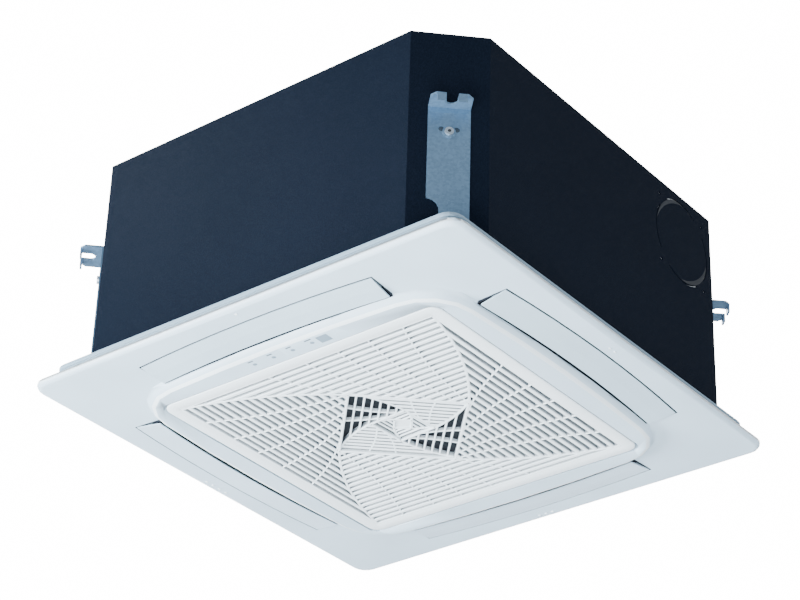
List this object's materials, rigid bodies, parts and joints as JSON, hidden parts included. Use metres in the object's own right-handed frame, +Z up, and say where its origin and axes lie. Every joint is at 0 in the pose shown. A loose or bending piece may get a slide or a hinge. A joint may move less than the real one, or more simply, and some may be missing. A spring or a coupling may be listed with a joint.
{
  "type": "ceiling cassette air conditioner",
  "caption": "Compact four-way ceiling cassette: octagonal black casing on hanger brackets, white panel with hinged louvres and a swirl slatted intake grille.",
  "frame": {"origin": "centre of the ceiling opening, at the ceiling line: the panel's flange touches the ceiling at z = 0", "axes": "+Z up into the ceiling; -Y is the side with the indicator lamps; the pipes leave at -X and the duct knock-out is on +X"},
  "size_m": [0.6488, 0.62, 0.3026],
  "materials": {
    "casing_black": "matt navy-black pre-coated steel with a fine mottled grain",
    "zinc": "galvanised steel, faint spangle",
    "panel_white": "cool white moulded plastic, satin",
    "slat_white": "white moulded plastic, satin",
    "foam_white": "expanded foam",
    "foam_black": "black moulded foam",
    "dark_plastic": "dark moulded plastic",
    "filter_net": "fine woven net in a moulded frame",
    "motor_grey": "cast and painted",
    "fin_metal": "fine fins",
    "copper": "drawn copper tube",
    "brass": "turned brass",
    "board_green": "circuit board",
    "lens_grey": "tinted translucent plastic",
    "rubber_black": "moulded rubber"
  },
  "bodies": {
    "casing": {"casing_shell": "casing_black", "top_plate": "casing_black", "insulation_liner": "foam_white", "hanger_bracket_near": "zinc", "hanger_bracket_right": "zinc", "hanger_bracket_far": "zinc", "hanger_bracket_left": "zinc", "bracket_screw_near": "zinc", "bracket_screw_right": "zinc", "bracket_screw_far": "zinc", "bracket_screw_left": "zinc", "drain_pan": "foam_black", "bell_mouth": "dark_plastic", "fan_motor": "motor_grey", "motor_damper": "rubber_black", "motor_mount_plate": "zinc", "heat_exchanger": "fin_metal", "coil_end_plate_1": "zinc", "coil_end_plate_2": "zinc", "gas_pipe": "copper", "liquid_pipe": "copper", "gas_flare_nut": "brass", "liquid_flare_nut": "brass", "pipe_plate": "zinc", "drain_pump": "dark_plastic", "drain_port": "dark_plastic", "drain_hose": "rubber_black", "float_switch": "dark_plastic", "control_box": "zinc", "control_board": "board_green", "terminal_block": "dark_plastic", "control_box_cover": "zinc", "cable_gland": "rubber_black", "panel_frame": "panel_white", "panel_gasket": "panel_white", "panel_screw_1": "zinc", "panel_screw_2": "zinc", "panel_screw_3": "zinc", "panel_screw_4": "zinc", "louvre_motor_front": "motor_grey", "louvre_motor_right": "motor_grey", "louvre_motor_rear": "motor_grey", "louvre_motor_left": "motor_grey", "grille_hinge_pin_1": "zinc", "grille_hinge_pin_2": "zinc", "led_light_guide": "lens_grey", "receiver_window": "lens_grey", "display_board": "board_green"},
    "fan": {"fan_wheel": "dark_plastic", "fan_shaft": "zinc", "shaft_nut": "zinc"},
    "vane_front": {"louvre_front": "panel_white"},
    "vane_right": {"louvre_right": "panel_white"},
    "vane_rear": {"louvre_rear": "panel_white"},
    "vane_left": {"louvre_left": "panel_white"},
    "grille": {"intake_grille": "slat_white", "air_filter": "filter_net"},
    "catch_left": {"grille_catch_1": "dark_plastic"},
    "catch_right": {"grille_catch_2": "dark_plastic"},
    "float_body": {"float": "foam_white"}
  },
  "joints": [
    {"name": "fan_spin", "type": "hinge", "parent": "casing", "child": "fan", "pos_m": [0, 0, 0.15], "axis": [0, 0, 1], "continuous": true},
    {"name": "louvre_front_tilt", "type": "hinge", "parent": "casing", "child": "vane_front", "pos_m": [0, -0.254, -0.0025], "axis": [1, 0, 0], "range_deg": [0, 60]},
    {"name": "louvre_right_tilt", "type": "hinge", "parent": "casing", "child": "vane_right", "pos_m": [0.254, 0, -0.0025], "axis": [0, 1, 0], "range_deg": [0, 60]},
    {"name": "louvre_rear_tilt", "type": "hinge", "parent": "casing", "child": "vane_rear", "pos_m": [0, 0.254, -0.0025], "axis": [-1, 0, 0], "range_deg": [0, 60]},
    {"name": "louvre_left_tilt", "type": "hinge", "parent": "casing", "child": "vane_left", "pos_m": [-0.254, 0, -0.0025], "axis": [0, -1, 0], "range_deg": [0, 60]},
    {"name": "grille_open", "type": "hinge", "parent": "casing", "child": "grille", "pos_m": [0, 0.1935, -0.0145], "axis": [1, 0, 0], "range_deg": [0, 85]},
    {"name": "catch_left_slide", "type": "slide", "parent": "grille", "child": "catch_left", "axis": [0, -1, 0], "range_m": [0, 0.004]},
    {"name": "catch_right_slide", "type": "slide", "parent": "grille", "child": "catch_right", "axis": [0, -1, 0], "range_m": [0, 0.004]},
    {"name": "float_lift", "type": "slide", "parent": "casing", "child": "float_body", "axis": [0, 0, 1], "range_m": [0, 0.01]}
  ]
}
